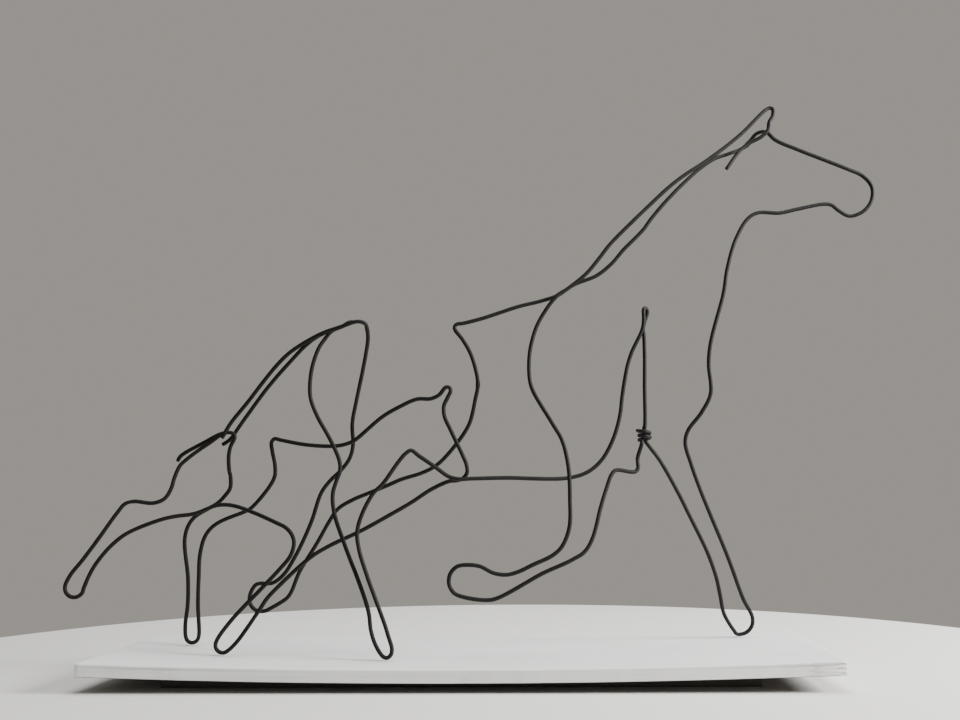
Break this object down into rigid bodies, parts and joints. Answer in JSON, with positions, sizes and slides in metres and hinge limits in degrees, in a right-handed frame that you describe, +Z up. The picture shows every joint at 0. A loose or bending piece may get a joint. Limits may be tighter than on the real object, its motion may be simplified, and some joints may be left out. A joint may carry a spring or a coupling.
{
  "type": "wire sculpture",
  "caption": "Mare trotting with her foal at her flank, drawn as a line in space in bent black iron wire, standing on a thin white painted board.",
  "frame": {"origin": "middle of the plinth's flat underside", "axes": "+X along the board, the way both animals run; +Y towards their far side; +Z up"},
  "size_m": [0.4904, 0.125, 0.3396],
  "materials": {
    "iron_wire": "near-black annealed iron wire, dull, faintly browned, with small plier marks",
    "white_paint": "brushed white emulsion on thin board, matt, with grey scuffs and chipped corners"
  },
  "bodies": {
    "root": {"mare_head_and_far_foreleg_wire": "iron_wire", "mare_neck_and_near_foreleg_wire": "iron_wire", "mare_back_and_far_hind_leg_wire": "iron_wire", "mare_belly_and_near_hind_leg_wire": "iron_wire", "foal_wire": "iron_wire", "plinth": "white_paint"}
  },
  "joints": []
}
